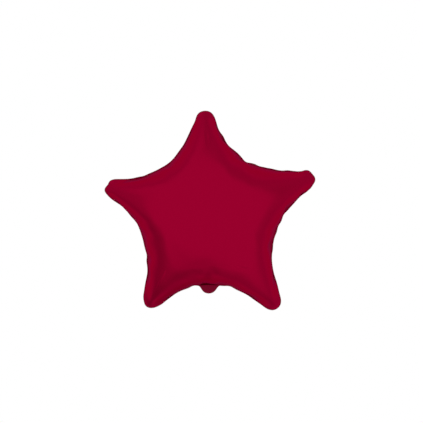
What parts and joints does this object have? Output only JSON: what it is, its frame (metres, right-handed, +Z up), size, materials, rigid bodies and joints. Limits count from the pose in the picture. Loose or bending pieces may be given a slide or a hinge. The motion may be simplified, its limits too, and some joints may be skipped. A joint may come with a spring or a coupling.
{
  "type": "star foil balloon",
  "caption": "Filled five-armed star balloon of dark red metallised film, two sheets welded round the edge, with a tail tab to tie a ribbon to.",
  "frame": {"origin": "middle of the tail tab under the star, halfway through its thickness, where the ribbon is tied", "axes": "+Z up, from the tail tab to the top arm; -Y out of the front of the star; +X to the right seen from the front"},
  "size_m": [0.4226, 0.189, 0.3993],
  "materials": {
    "red_metallised_film": "satin metallised polyester film, dark red"
  },
  "bodies": {
    "root": {"foil_balloon": "red_metallised_film"}
  },
  "joints": []
}
